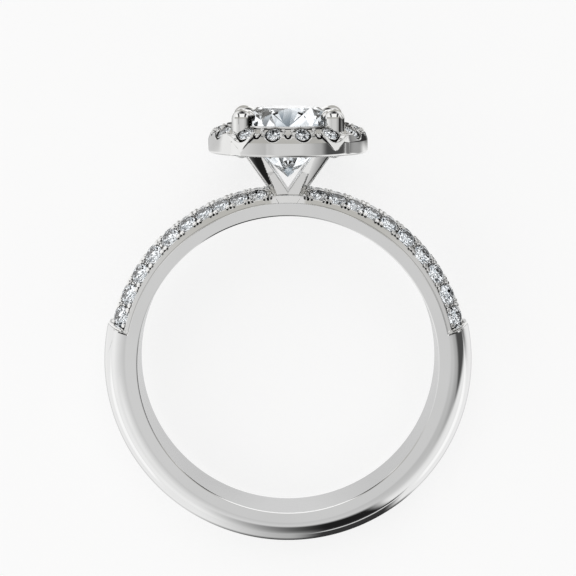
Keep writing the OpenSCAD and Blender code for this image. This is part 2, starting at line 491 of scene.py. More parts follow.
def sweep(name, outline, thetas, caps=False):
    """outline(theta) gives segments (r, y, n_r, n_y) pairs for one side after the other."""
    rows = [outline(t) for t in thetas]
    n = len(rows[0])
    V = np.concatenate([round_finger(np.full(n, t), row[:, 1], row[:, 0])
                        for t, row in zip(thetas, rows)])
    faces, normals = [], []
    for i in range(len(thetas) - 1):
        for k in range(0, n, 2):
            a, b = k, k + 1
            faces.append([i * n + a, i * n + b, (i + 1) * n + b, (i + 1) * n + a])
            for ii, kk in ((i, a), (i, b), (i + 1, b), (i + 1, a)):
                t = math.radians(thetas[ii])
                nr, ny = rows[ii][kk, 2], rows[ii][kk, 3]
                normals.append((nr * math.sin(t), ny, nr * math.cos(t)))
    V, faces, normals = V, np.array(faces), np.array(normals)
    # faces turned with their normals
    a, b, c, d = (V[faces[:, m]] for m in range(4))
    fn = np.cross(c - a, d - b)
    want = normals.reshape(-1, 4, 3).mean(1)
    bad = (fn * want).sum(1) < 0
    faces[bad] = faces[bad][:, ::-1]
    cn = normals.reshape(-1, 4, 3)
    cn[bad] = cn[bad][:, ::-1]
    return V, faces, cn.reshape(-1, 3)


def weld(V, faces, cn):
    """Joins vertices at one place, and drops faces that close up; corner normals go along."""
    key = np.round(V, 5)
    uniq, inv = np.unique(key, axis=0, return_inverse=True)
    inv = inv.ravel()
    out_f, out_n, used = [], [], set()
    m = 0
    for f in faces:
        ns = cn[m:m + len(f)]
        m += len(f)
        g = [int(inv[i]) for i in f]
        keep, kn = [], []
        for idx, vtx in enumerate(g):
            if vtx not in keep:
                keep.append(vtx)
                kn.append(ns[idx])
        if len(keep) >= 3:
            tag = tuple(sorted(keep))
            if tag not in used:
                used.add(tag)
                out_f.append(keep)
                out_n += kn
    return uniq, out_f, np.array(out_n)


def arc_points(cr, cy, rad, a0, a1, n):
    """Segments along an arc; angles in degrees, 0 along +r and 90 along +y."""
    pts = []
    for i in range(n):
        for a in (a0 + (a1 - a0) * i / n, a0 + (a1 - a0) * (i + 1) / n):
            t = math.radians(a)
            pts.append((cr + rad * math.cos(t), cy + rad * math.sin(t), math.cos(t), math.sin(t)))
    return pts


def seg(p, q, n=1):
    """Straight segment from p to q whose normal is on the right-hand side."""
    dr, dy = q[0] - p[0], q[1] - p[1]
    m = math.hypot(dr, dy)
    nr, ny = dy / m, -dr / m
    pts = []
    for i in range(n):
        for f in (i / n, (i + 1) / n):
            pts.append((p[0] + dr * f, p[1] + dy * f, nr, ny))
    return pts


def mirror_outline(points):
    """The same points on the other side, so that the outline closes."""
    return [(r, -y, nr, -ny) for r, y, nr, ny in points[::-1]]


BEV = 0.07


def side_start():
    """From the middle of the bore to the flat side."""
    pts = seg((BORE, 0), (BORE, -(HW - BEV)))
    pts = [(r, y, -1.0, 0.0) for r, y, _, _ in pts]
    c = []
    for a0, a1, f0, f1 in ((-172, -126, 0, 0.1), (-126, -111, 0.1, 0.9), (-111, -98, 0.9, 1)):
        for a, f in ((a0, f0), (a1, f1)):
            t = math.radians(a)
            c.append((BORE + BEV * f, -(HW - BEV) - BEV * f, math.cos(t), math.sin(t)))
    return pts + c


def plain_outline(t):
    pts = side_start()
    flat = 8.8
    pts += [(BORE + BEV, -HW, 0, -1), (flat, -HW, 0, -1)]
    dh = 1.3945
    n = 40
    for i in range(n):
        for u in (90.0 * i / n, 90.0 * (i + 1) / n):
            v = math.radians(u)
            nr, ny = math.sin(v) / dh, -math.cos(v) / HW
            m = math.hypot(nr, ny)
            pts.append((flat + dh * math.sin(v), -HW * math.cos(v), nr / m, ny / m))
    return np.array(pts + mirror_outline(pts))


def rim_radius(t):
    """Radius at which the side of a shoulder turns into its border."""
    return 8.98 - 0.075 * np.clip((np.abs(t) - 8.0) / 20.0, 0, 1)


def shoulder_outline(t):
    rr = float(rim_radius(t))
    pts = side_start()
    e = 0.035
    pts += [(BORE + BEV, -HW, 0, -1), (rr - e, -HW, 0, -1)]
    pts += arc_points(rr - e, -HW + e, e, -90, 0, 3)
    pts += arc_points(rr - e, -HW + e, e, 0, 70, 2)
    s = math.radians(70)
    p = (rr - e + e * math.cos(s), -HW + e + e * math.sin(s))
    pts += seg(p, (rr - 0.06, -HW + 0.10))
    pts += seg((rr - 0.06, -HW + 0.10), (8.84, -1.2))
    pts += seg((8.84, -1.2), (8.84, 0))
    return np.array(pts + mirror_outline(pts))


def bow(y):
    """How far, in degrees, the plain part reaches up in the middle of the band."""
    return 0.9 * (1 - np.clip(np.abs(y) / HW, 0, 1) ** 2)


def circle_pieces():
    made = []
    # plain part, with a small bevel above the border line at both ends
    th = list(np.linspace(PLAIN + 0.42, 360 - PLAIN - 0.42, 196))
    th = [PLAIN] + th + [360 - PLAIN]

    def outline(t):
        row = plain_outline(t)
        if t in (PLAIN, 360 - PLAIN):
            k = row[:, 0] > 8.88
            move = 0.055 * np.clip((row[:, 0] - 8.88) / 0.05, 0, 1)
            row[:, 0] -= row[:, 2] * move * k
            row[:, 1] -= row[:, 3] * move * k
        return row

    V, F, N = sweep("plain", outline, th)
    row = outline(PLAIN)
    n = len(row)
    for ring, sgn in ((0, -1), (1, -1), (len(th) - 2, 1), (len(th) - 1, 1)):
        sl = slice(ring * n, ring * n + n)
        r = np.hypot(V[sl, 0], V[sl, 2])
        t = np.radians(sgn * bow(V[sl, 1]) * np.clip((r - 8.88) / 0.05, 0, 1))
        x, z = V[sl, 0].copy(), V[sl, 2].copy()
        V[sl, 0] = x * np.cos(t) + z * np.sin(t)
        V[sl, 2] = z * np.cos(t) - x * np.sin(t)
    # normals of the small end bevels lean towards the ends
    N = N.reshape(-1, 4, 3)
    per = n // 2
    for ring, sgn, ang in ((0, -1, PLAIN), (len(th) - 2, 1, 360 - PLAIN)):
        tdir = np.array([math.cos(math.radians(ang)), 0, -math.sin(math.radians(ang))]) * sgn
        for k in range(per):
            f = ring * per + k
            pr = np.hypot(V[F[f], 0], V[F[f], 2])
            lean = np.clip((pr - 8.88) / 0.05, 0, 1)[:, None] * 0.95
            q = N[f] + tdir * lean
            N[f] = q / np.linalg.norm(q, axis=1, keepdims=True)
    N = N.reshape(-1, 3)
    caps, cap_n = [], []
    last = (len(th) - 1) * n
    for base, sgn, ang in ((0, -1, PLAIN), (last, 1, 360 - PLAIN)):
        tdir = np.array([math.cos(math.radians(ang)), 0, -math.sin(math.radians(ang))]) * sgn
        f = [base + k for k in range(0, n, 2)]
        pts = V[f]
        nrm = np.zeros(3)
        for m in range(len(f)):
            nrm += np.cross(pts[m], pts[(m + 1) % len(f)])
        if nrm @ tdir < 0:
            f = f[::-1]
        caps.append(f)
        cap_n += [tuple(tdir)] * len(f)
    V2, F2, N2 = weld(V, list(map(list, F)) + caps, np.concatenate([N, np.array(cap_n)]))
    made.append(("shank_plain", V2, F2, N2))

    th = list(np.linspace(-PLAIN, PLAIN, 157))
    V, F, N = sweep("base", shoulder_outline, th)
    n = len(shoulder_outline(0))
    caps, cap_n = [], []
    for base, sgn, ang in ((0, -1, th[0]), ((len(th) - 1) * n, 1, th[-1])):
        tdir = np.array([math.cos(math.radians(ang)), 0, -math.sin(math.radians(ang))]) * sgn
        f = [base + k for k in range(0, n, 2)]
        pts = V[f]
        nrm = np.zeros(3)
        for m in range(len(f)):
            nrm += np.cross(pts[m], pts[(m + 1) % len(f)])
        if nrm @ tdir < 0:
            f = f[::-1]
        caps.append(f)
        cap_n += [tuple(tdir)] * len(f)
    V2, F2, N2 = weld(V, list(map(list, F)) + caps, np.concatenate([N, np.array(cap_n)]))
    made.append(("shank_shoulder_base", V2, F2, N2))
    return made


# the bore's faces take the darker copy of the metal, which paints shade inside the band
for nm, V, F, N in circle_pieces():
    obj = add_mesh(nm, V, F, corner_normals=N)
    obj.data.materials.append(gold)
    finish_piece(obj, shaded_bore_metal, "white_metal", "mounting")
    rad = np.hypot(V[:, 0], V[:, 2])
    obj.data.polygons.foreach_set("material_index", [int(max(rad[v] for v in f) < BORE + 0.001) for f in F])

# --------------------------------------------------------------------------
# Paved shoulders: two rows of stones, the metal between them and its beads
# --------------------------------------------------------------------------
PAVE_TH = [10.1, 16.4, 22.8, 28.8, 35.4, 42.6, 50.6, 58.3, 66.1, 73.8]
PAVE_R = [0.50, 0.50, 0.485, 0.50, 0.53, 0.575, 0.59, 0.59, 0.59, 0.575]


def row_place(th):
    """Middle of the stone face, its normal and its slope, for the row at positive y."""
    t = (np.asarray(th, float) - 10.0) / 64.0
    yc = 0.86 - 0.02 * t
    rc = 9.49 + 0.055 * t
    be = np.radians(27.0 + 16.0 * t)
    return yc, rc, be


def stone_frame(th):
    yc, rc, be = (float(v) for v in row_place(th))
    a = math.radians(th)
    er = np.array([math.sin(a), 0, math.cos(a)])
    et = np.array([math.cos(a), 0, -math.sin(a)])
    ey = np.array([0, 1.0, 0])
    C = er * rc + ey * yc
    N = er * math.cos(be) + ey * math.sin(be)
    S = er * math.sin(be) - ey * math.cos(be)     # up the slope, to the ridge
    return C, N, et, S


PAVE = [(th, R) + stone_frame(th) for th, R in zip(PAVE_TH, PAVE_R)]
GAPS = []
for i in range(len(PAVE_TH) + 1):
    if i == 0:
        th = PAVE_TH[0] - 3.35
    elif i == len(PAVE_TH):
        th = PAVE_TH[-1] + 3.45
    else:
        th = (PAVE_TH[i - 1] + PAVE_TH[i]) / 2
    GAPS.append((th, i) + stone_frame(th))
FRONT = math.radians(15)


def pave_metal(p):
    x, a, z = np.abs(p[:, 0]), np.abs(p[:, 1]), p[:, 2]
    q = np.stack([x, a, z], 1)
    th = np.degrees(np.arctan2(x, z))
    r = np.hypot(x, z)
    yc, rc, be = row_place(th)
    size = np.interp(th, PAVE_TH, PAVE_R)
    roof = (a - yc) * np.sin(be) + (r - rc) * np.cos(be) - 0.01
    ridge = r - (9.72 + 0.21 * np.clip((th - 10) / 64, -0.1, 1.1))
    rr = rim_radius(th)
    front = FRONT * np.clip((th - 4.0) / 2.5, 0, 1)
    wall = np.maximum((a - 1.560) * np.cos(front) + (r - rr) * np.sin(front), a - 1.575)
    # level edge in front of the stones, as high as their lowest points
    ledge = np.maximum(yc + size * np.cos(be) - 0.03 - a, r - (rc - size * np.sin(be) + 0.015))
    body = smax(smax(np.minimum(roof, ledge), ridge, 0.08), wall, 0.03)
    # between the two shoulders: a plain front plate and a low floor under the legs
    plate = rmax(wall, r - 9.40 + 0.17 * np.clip((p[:, 1] + 1.45) / 0.5, 0, 1), 0.04)
    k = np.clip((th - 5.5) / 0.9, 0, 1)
    k = k * k * (3 - 2 * k)
    body = plate * (1 - k) + body * k
    for th0, R, C, N, T, S in PAVE:
        m = np.abs(th - th0) < 6.2
        d = q[m] - C
        h = d @ N
        rho = np.sqrt(np.maximum((d * d).sum(1) - h * h, 0))
        up = (rho - R - 0.010 - np.maximum(h + 0.015, 0) * 0.75) * 0.8
        down = (rho - R - 0.010) * 0.656 - (h + 0.03) * 0.755
        seat = np.where(h > -0.015, up, np.maximum(up, down))
        body[m] = smax(body[m], -seat, 0.015)
    for th0, i, C, N, T, S in GAPS:
        m = np.abs(th - th0) < 4.0
        d = q[m] - C
        h, s, t = d @ N, d @ S, d @ T
        b = body[m]
        # slot between the prongs, and drilled hollows before and behind them
        v = (np.abs(t) - 0.022 - (h + 0.20) * 0.16) * 0.94
        b = np.maximum(b, -np.maximum(v, np.abs(s + 0.42) - 0.28))
        for ct, cs, ch, rad in ((-0.20, -0.64, -0.02, 0.070), (0.20, -0.64, -0.02, 0.070),
                                (0.0, 0.24, 0.0, 0.060),
                                (0.0, -0.14, 0.0, 0.085)):
            b = np.maximum(b, rad - np.sqrt((t - ct) ** 2 + (s - cs) ** 2 + ((h - ch) * 0.6) ** 2))
        # prongs, two on each side of the gap
        for ct, cs, rad, hh in ((-0.145, -0.44, 0.150, 0.10), (0.145, -0.44, 0.150, 0.10),
                                (-0.140, 0.43, 0.135, 0.09), (0.140, 0.43, 0.135, 0.09)):
            if (i == 0 and ct < 0 and cs < 0) or (i == len(PAVE_TH) and ct > 0):
                continue
            b = smin(b, rmax(np.hypot(t - ct, s - cs) - rad, np.maximum(h - hh, -h - 0.3), 0.06), 0.02)
        body[m] = b
    # raised edge where the paved part ends
    dome = 8.8 + 1.4 * np.sqrt(np.clip(1 - (a / 1.585) ** 2, 0, 1))
    bar = rmax(rmax(np.abs(th - 77.98 + bow(a)) * 0.165 - 0.062, r - dome + 0.02, 0.03), a - 1.56, 0.03)
    body = smin(body, bar, 0.015)
    return np.maximum(np.maximum(body, 8.82 - r), (th - 78.48 + bow(a)) * 0.16)


def pave_cover(p):
    x, a, z = np.abs(p[:, 0]), np.abs(p[:, 1]), p[:, 2]
    q = np.stack([x, a, z], 1)
    th = np.degrees(np.arctan2(x, z))
    out = np.full(len(p), 9.0)
    for th0, R, C, N, T, S in PAVE:
        m = np.abs(th - th0) < 6.2
        d = q[m] - C
        h = d @ N
        rho = np.sqrt(np.maximum((d * d).sum(1) - h * h, 0))
        out[m] = np.minimum(out[m], np.maximum(rho - R, np.abs(h + 0.10) - 0.18))
    return out


step_r = 0.040
u = np.arange(-0.35, 78.76, 0.24)
v = np.arange(-1.64, 1.6401, step_r)
w = np.arange(8.77, 10.16, step_r)
# the closedness, with the stones counted as closing the space, is the start of the painted shade
P, Q, N, H = implicit(pave_metal, (u, v, w), round_finger, cell=0.05, cover=pave_cover)
P[:, 0] = np.maximum(P[:, 0], 0)
# painted shade: a dark line along the lower border, standing for the shade in the groove there
th, r = np.degrees(np.arctan2(P[:, 0], P[:, 2])), np.hypot(P[:, 0], P[:, 2])
border_shade_line = np.clip(1.25 - np.abs(r - rim_radius(th) - 0.03) / 0.04, 0, 1) * np.clip((th - 6) / 2, 0, 1)
H = np.maximum(H, np.where(np.abs(P[:, 1]) > 1.49, 0.70 * border_shade_line, 0))
# painted shade: dark spots in the corners beside the lower prongs
q = np.stack([P[:, 0], np.abs(P[:, 1]), P[:, 2]], 1)
for th0, i, C, Nn, T, S in GAPS:
    d = q - C
    h, s, t = d @ Nn, d @ S, d @ T
    reach = float(np.interp(th0, [20, 50], [0.10, 0.13]))
    notch_shade = np.clip(1.45 - np.hypot(np.abs(t) - 0.19, s + 0.65) / reach, 0, 1)
    notch_shade *= np.clip((np.hypot(np.abs(t) - 0.145, s + 0.44) - 0.145) / 0.02, 0, 1) * (np.abs(h) < 0.45)
    H = np.maximum(H, float(np.interp(th0, [8, 32], [0.80, 0.95])) * notch_shade)
# painted shade: a thin dark line on the front plate where a leg meets it, standing for the shade in that crease
line = np.abs((P[:, 0] - 0.48) * 0.86 - (P[:, 2] - 8.94) * 0.51)
line = np.clip(1.3 - line / 0.022, 0, 1) * (np.abs(P[:, 2] - 9.07) < 0.15)
H = np.maximum(H, np.where(P[:, 1] < -1.49, 0.9 * line, 0))
for side, nm in ((1, "right"), (-1, "left")):
    P2, Q2, N2, H2 = mirrored(P, Q, N, H, side, 1)
    finish_piece(add_mesh("shoulder_setting_" + nm, P2, Q2, vertex_normals=N2, painted_shade=H2),
                 gold_set, "white_metal", "mounting")

small = brilliant(0.60, 34.5, 41.0, 0.05, lower=0.60, star=0.45)
for side, node in ((-1, "shoulder_stones_left"), (1, "shoulder_stones_right")):
    items = []
    for i, (th, R, C, Nn, T, S) in enumerate(PAVE):
        for row in (-1, 1):
            m = np.array([side, row, 1.0])
            items.append((R, C * m, Nn * m, 0.21 + 0.83 * i + (1.3 if row > 0 else 0)))
    finish_piece(stones_mesh("pave_stones_" + ("left" if side < 0 else "right"), items, small),
                 small_mat, "small_stones", node)

# --------------------------------------------------------------------------
# Halo: collar with a crease, scallops under each stone, beads between them
# --------------------------------------------------------------------------
HALO_PH = [11.0, 35.0, 62.0, 90.0]
HALO_R = 0.425
LEAN = math.radians(37)


def halo_frame_at(ph):
    a = math.radians(ph)
    E = np.array([math.sin(a), -math.cos(a), 0])
    T = np.array([math.cos(a), math.sin(a), 0])
    C = E * 3.85 + np.array([0, 0, 12.80])
    N = E * math.sin(LEAN) + np.array([0, 0, math.cos(LEAN)])
    S = -E * math.cos(LEAN) + np.array([0, 0, math.sin(LEAN)])
    return C, N, T, S, E


HALO = [(ph,) + halo_frame_at(ph) for ph in HALO_PH]
BEADS = ((23.0, 4.13, 12.74, 0.150), (76.0, 4.13, 12.74, 0.150))


def gothic(t, z, w, rg, z0):
    """Pointed arch that hangs down from z0, half as wide as w says."""
    k = rg - w
    low = np.maximum(np.hypot(t - k, z - z0), np.hypot(t + k, z - z0)) - rg
    return np.where(z < z0, low, np.abs(t) - w)


def halo_metal(p):
    x, y, z = np.abs(p[:, 0]), -np.abs(p[:, 1]), p[:, 2]
    q = np.stack([x, y, z], 1)
    ph = np.degrees(np.arctan2(x, -y))
    R = np.hypot(x, y)
    lo = R - 4.338
    tl = math.radians(16)
    hi = (R - 4.338) * math.cos(tl) + (z - 12.35) * math.sin(tl)
    wall = np.maximum(lo, hi)
    body = rmax(wall, 11.62 - z, 0.15)
    tp = math.radians(20.3)
    top = (R - 4.34) * math.sin(tp) + (z - 12.70) * math.cos(tp)
    body = rmax(body, np.maximum(top, z - 13.03), 0.03)
    seat = np.maximum(np.maximum(R - 3.33, 3.0 - R), np.maximum(z - 13.19, 12.6 - z))
    body = np.minimum(body, seat)
    # V-shaped facet below the scallop under each claw
    C, N, T, S, E = halo_frame_at(35.4)
    t = np.abs(q @ T)
    e = q @ E
    vee = rmax((t - (z - 11.88)) * 0.7, (e - 4.335 - (z - 11.90) * 0.16) * 0.98, 0.015)
    vee = np.maximum(np.maximum(vee, 4.1 - R), z - 12.72)
    body = np.minimum(body, np.where(ph < 62, vee, 1.0))
    # open middle: cone that clears the pavilion, and the stone's girdle
    stone = (R - 1.1264 * (z - 10.22) - 0.05) * 0.664
    hole = np.minimum(R - 2.75, np.where(z < 12.97, stone, R - 3.115))
    body = np.maximum(body, -hole)
    for ph0, C, N, T, S, E in HALO:
        d = q - C
        m = np.abs(ph - ph0) < 20
        d = d[m]
        h = d @ N
        rho = np.sqrt(np.maximum((d * d).sum(1) - h * h, 0))
        t, e, zz = d @ T, d @ E + 3.85, z[m]
        up = (rho - HALO_R - 0.012 - np.maximum(h + 0.015, 0) * 0.35) * 0.92
        down = (rho - HALO_R - 0.012) * 0.656 - (h + 0.03) * 0.755
        seat = np.where(h > -0.015, up, np.maximum(up, down))
        if ph0 == 35.0:
            cut = gothic(t, zz, 0.60, 0.66, 13.08)
        else:
            cut = gothic(t, zz, 0.55, 0.60, 13.04)
        cut = (cut - np.maximum(e - 4.20, 0) * 0.25) * 0.95
        cut = np.maximum(cut, 4.08 - e)
        b = np.maximum(body[m], -np.minimum(seat, cut))
        # thin collar that holds the stone
        ring = np.hypot(np.maximum(np.abs(rho - HALO_R - 0.032) - 0.010, 0),
                        np.maximum(np.abs(h + 0.04) - 0.05, 0)) - 0.020
        b = np.minimum(b, ring)
        body[m] = b
    # round cups with a bead in each
    for ph0, Rb, zb, rad in BEADS:
        c = round_head(np.array([ph0]), Rb, zb)[0]
        body = np.maximum(body, -(sphere(q, c, rad + 0.065)))
        body = np.maximum(body, -capsule(q, c, c + np.array([0, 0, 0.3]), rad + 0.05))
        body = smin(body, sphere(q, c, rad), 0.01)
    # a small arch in the middle, with a bead on each side of it
    E0 = np.array([0, -1.0, 0])
    bend = np.abs(np.where(z < 12.78, np.hypot(q[:, 0], z - 12.78), q[:, 0]) - 0.15) - 0.038
    arch = np.maximum(bend, 4.02 + y)
    body = np.maximum(body, -np.where(ph < 10, arch, 1.0))
    for ph0, Rb, zb, rad in ((4.6, 4.05, 12.84, 0.115), (3.9, 3.66, 12.98, 0.11),
                             (18.6, 3.95, 12.84, 0.11), (27.4, 3.95, 12.84, 0.11),
                             (22.0, 3.62, 13.01, 0.11), (44.0, 4.08, 12.78, 0.12),
                             (51.5, 4.08, 12.78, 0.12), (48.0, 3.66, 12.98, 0.11),
                             (71.5, 3.95, 12.84, 0.11), (81.0, 3.95, 12.84, 0.11),
                             (76.0, 3.62, 13.01, 0.11)):
        c = round_head(np.array([ph0]), Rb, zb)[0]
        body = smin(body, capsule(q, c - np.array([0, 0, 0.15]), c, rad), 0.02)
    return body


def halo_cover(p):
    q = np.stack([np.abs(p[:, 0]), -np.abs(p[:, 1]), p[:, 2]], 1)
    out = np.full(len(p), 9.0)
    for ph0, C, N, T, S, E in HALO:
        d = q - C
        h = d @ N
        rho = np.sqrt(np.maximum((d * d).sum(1) - h * h, 0))
        out = np.minimum(out, np.maximum(rho - HALO_R, np.abs(h + 0.10) - 0.18))
    return out


u = np.linspace(0, 360, 601)[:-1]
v = np.arange(2.70, 4.56, 0.045)
w = np.arange(11.56, 13.28, 0.045)
# the closedness, with the halo's stones closing the space, becomes painted shade
P, Q, N, H = implicit(halo_metal, (u, v, w), round_head, wrap=True, cell=0.05, cover=halo_cover)
# painted shade: a darker part of the lower wall on the left of the front, outside the V facet under the left claw; the
# right side has none
ph = np.degrees(np.arctan2(P[:, 0], -P[:, 1]))
t = np.abs(np.hypot(P[:, 0], P[:, 1]) * np.sin(np.radians(ph + 35.4)))
wall_shade = np.clip((-ph - 8) / 8, 0, 1) * np.clip((40 + ph) / 5, 0, 1) * np.clip((12.42 - P[:, 2]) / 0.06, 0, 1)
wall_shade *= np.clip((t - (P[:, 2] - 11.88) - 0.01) / 0.04, 0, 1)
H = np.maximum(H, 0.36 * wall_shade)
finish_piece(add_mesh("halo_collar", P, Q, vertex_normals=N, painted_shade=H), gold_halo, "white_metal", "mounting")

items = []
for i, (ph, C, Nn, T, S, E) in enumerate(HALO):
    for sx in (-1, 1):
        for sy in (-1, 1):
            if ph == 90.0 and sy > 0:
                continue
            m = np.array([sx, sy, 1.0])
            items.append((HALO_R, C * m, Nn * m, 0.4 + 0.9 * i + 0.5 * sx + 0.3 * sy))
finish_piece(stones_mesh("halo_brilliants", items, small), small_mat, "small_stones", "halo_stones")

# --------------------------------------------------------------------------
# Legs and claws
# --------------------------------------------------------------------------
CX, CY = 2.45, -2.25
U_LEG = np.array([0.67, -0.617, 1.0])
U_LEG /= np.linalg.norm(U_LEG)
N_LEG = np.array([0, -1.0, 0]) - (np.array([0, -1.0, 0]) @ U_LEG) * U_LEG
N_LEG /= np.linalg.norm(N_LEG)
W_LEG = np.cross(U_LEG, N_LEG)
if W_LEG[0] < 0:
    W_LEG = -W_LEG


def stone_clear(p, extra):
    R = np.hypot(p[:, 0], p[:, 1])
    z = p[:, 2]
    low = (R - 1.1264 * (z - 10.22) - extra * 1.5) * 0.664
    crown = (R - 3.075 + (z - 13.13) * 1.484) * 0.56 - extra
    side = R - 3.075 - extra
    return np.maximum(np.maximum(low, crown), np.maximum(side, z - 14.07 - extra))


def claw_metal(p):
    # leg: a flat inner face and an outer face that turns away, with rounded sides
    foot = np.array([0.06, -0.06, 8.95])
    d = p - foot
    w, n, uu = d @ W_LEG, d @ N_LEG, d @ U_LEG
    w = w - 0.02
    line = 0.37 - 0.225 * np.clip(uu - 0.5, 0, 4.6)
    out = np.maximum(w - line, 0)
    n2 = n + np.minimum(0.080 * out + 0.13 * out * out, 0.18)
    rad = np.where(w > 0, 0.17, 0.06)
    foot_face = -1.36 - p[:, 1] - 0.10 * (p[:, 0] - 0.7) - 0.04 * (p[:, 2] - 9.9)
    foot_face = np.maximum(np.maximum(foot_face, (p[:, 2] - 10.6) * 0.9), (w - line + 0.04) * 0.9)
    front = smin(n2 - 0.36, foot_face, 0.05)
    qx, qy = np.abs(w) - 0.41 + rad, np.maximum(front, -n2 - 0.36) + rad
    leg = np.minimum(np.maximum(qx, qy), 0) + np.hypot(np.maximum(qx, 0), np.maximum(qy, 0)) - rad
    leg = np.maximum(leg, np.maximum(p[:, 2] - 12.4, 8.9 - p[:, 2]))
    # claw: upright and rounded, with a lip that reaches over the stone
    e = np.array([-0.7365, 0.6764, 0])
    f = np.array([0.6764, 0.7365, 0])
    c = np.array([CX, CY, 0])
    z = p[:, 2]
    col = capsule(p, c + np.array([0, 0, 12.0]), c + np.array([0, 0, 13.50]), 0.555)
    lip = ellipsoid(p, c + e * 0.22 + np.array([0, 0, 13.60]), [e, f, [0, 0, 1]], (0.60, 0.46, 0.44))
    lip = np.maximum(lip, 13.42 - z)
    body = smin(leg, smin(col, lip, 0.03), 0.04)
    return np.maximum(body, -stone_clear(p, 0.012))


u = np.arange(-0.75, 3.08, 0.05)
v = np.arange(-2.88, 0.62, 0.05)
w = np.arange(8.84, 14.20, 0.05)
# the closedness, with the stone closing the space, becomes painted shade
P, Q, N, H = implicit(claw_metal, (u, v, w), cartesian, cell=0.055, cover=lambda p: stone_clear(p, 0.0))
# the side that faces the stone lies in its shade, which is painted on: wider on the left claws than on the right ones
side = N[:, 1] * 0.6764 - N[:, 0] * 0.7365
tall = np.clip((P[:, 2] - 12.3) / 0.2, 0, 1) * np.clip((13.85 - P[:, 2]) / 0.15, 0, 1)
front = np.clip(-N[:, 1] / 0.3, 0, 1)


# painted dark streaks on the claws, standing for dark reflections
def painted_dark_streak(at, half):
    return np.clip(1.4 - np.abs(N[:, 0] - at) / half, 0, 1) * front


H_right = np.maximum(H, tall * np.maximum(0.60 * np.clip((side - 0.12) / 0.2, 0, 1), 0.58 * painted_dark_streak(0.50, 0.10), 0.48 * painted_dark_streak(-0.36, 0.06)))
H_left = np.maximum(H, tall * np.maximum(0.62 * np.clip((side + 0.22) / 0.16, 0, 1),
                                         0.50 * painted_dark_streak(0.33, 0.06) * np.clip((P[:, 2] - 13.1) / 0.2, 0, 1)))
parts = [mirrored(P, Q, N, H_right if sx > 0 else H_left, sx, sy) for sx in (1, -1) for sy in (1, -1)]
P, Q, N, H = joined(parts)
finish_piece(add_mesh("legs_and_claws", P, Q, vertex_normals=N, painted_shade=H), gold_halo, "white_metal", "mounting")

# --------------------------------------------------------------------------
# Centre stone
# --------------------------------------------------------------------------
big = brilliant(3.36 / 6.15, 33.95, 41.6, 0.18 / 3.075, star=0.36, arc=4)
finish_piece(stones_mesh("centre_brilliant", [(3.06, (0, 0, 13.04), (0, 0, 1), 0.0)], big),
             centre_mat, "centre_stone", "centre_stone")

# --------------------------------------------------------------------------
# Floor, light and camera
# --------------------------------------------------------------------------
class Net:
    """Short names for the few shader nodes that the floor and the studio need."""

    def __init__(self, tree):
        self.n, self.l = tree.nodes, tree.links

    def math(self, op, a, b=None):
        n = self.n.new("ShaderNodeMath")
        n.operation = op
        for i, val in enumerate((a, b)):
            if val is None:
                continue
            if isinstance(val, (int, float)):
                n.inputs[i].default_value = val
            else:
                self.l.new(val, n.inputs[i])
        return n.outputs[0]

    def span(self, val, lo, hi, to_lo, to_hi):
        n = self.n.new("ShaderNodeMapRange")
        for key, num in (("From Min", lo), ("From Max", hi), ("To Min", to_lo), ("To Max", to_hi)):
            n.inputs[key].default_value = num
        self.l.new(val, n.inputs["Value"])
        return n.outputs["Result"]

    def ramp(self, val, lo, hi):
        """Smooth step of val from 0 at lo to 1 at hi; lo may be above hi."""
        n = self.n.new("ShaderNodeMapRange")
        n.interpolation_type = "SMOOTHSTEP"
        x0, x1, y0, y1 = (lo, hi, 0, 1) if lo < hi else (hi, lo, 1, 0)
        for key, num in (("From Min", x0), ("From Max", x1), ("To Min", y0), ("To Max", y1)):
            n.inputs[key].default_value = num
        self.l.new(val, n.inputs["Value"])
        return n.outputs["Result"]

    def mix(self, fac, a, b):
        """a where fac is 0, b where it is 1; a number stands for a colour with that value in all three channels."""
        n = self.n.new("ShaderNodeMix")
        n.data_type = "RGBA"
        ins = [q for q in n.inputs if q.type == "RGBA"]
        self.l.new(fac, n.inputs["Factor"])
        for sock, val in zip(ins, (a, b)):
            if isinstance(val, (int, float)):
                sock.default_value = (val, val, val, 1)
            elif isinstance(val, tuple):
                sock.default_value = (*val, 1)
            else:
                self.l.new(val, sock)
        return [q for q in n.outputs if q.type == "RGBA"][0]

    def times(self, *vals):
        cur = vals[0]
        for val in vals[1:]:
            cur = self.math("MULTIPLY", cur, val)
        return cur

    def less(self, val, k):
        """1 - k * val"""
        return self.span(val, 0, 1, 1, 1 - k)

    def emit(self, colour, kind="ShaderNodeEmission"):
        n = self.n.new(kind)
        if isinstance(colour, (int, float)):
            n.inputs["Color"].default_value = (colour, colour, colour, 1)
        else:
            self.l.new(colour, n.inputs["Color"])
        return n.outputs[0]

    def blend(self, fac, a, b):
        n = self.n.new("ShaderNodeMixShader")
        self.l.new(fac, n.inputs["Fac"])
        self.l.new(a, n.inputs[1])
        self.l.new(b, n.inputs[2])
        return n.outputs[0]


def panels(tree, fac):
    """Grey levels of the light and dark panels that show inside the stones."""
    cr = tree.nodes.new("ShaderNodeValToRGB")
    el = cr.color_ramp.elements
    el[0].position, el[0].color = 0.385, (0.015, 0.018, 0.022, 1)
    el[1].position, el[1].color = 0.545, (1.45, 1.46, 1.48, 1)
    for pos, c in ((0.42, (0.13, 0.155, 0.18)), (0.455, (0.42, 0.48, 0.53)), (0.495, (0.93, 0.97, 1.0))):
        el.new(pos).color = (*c, 1)
    tree.links.new(fac, cr.inputs["Fac"])
    return cr.outputs["Color"]


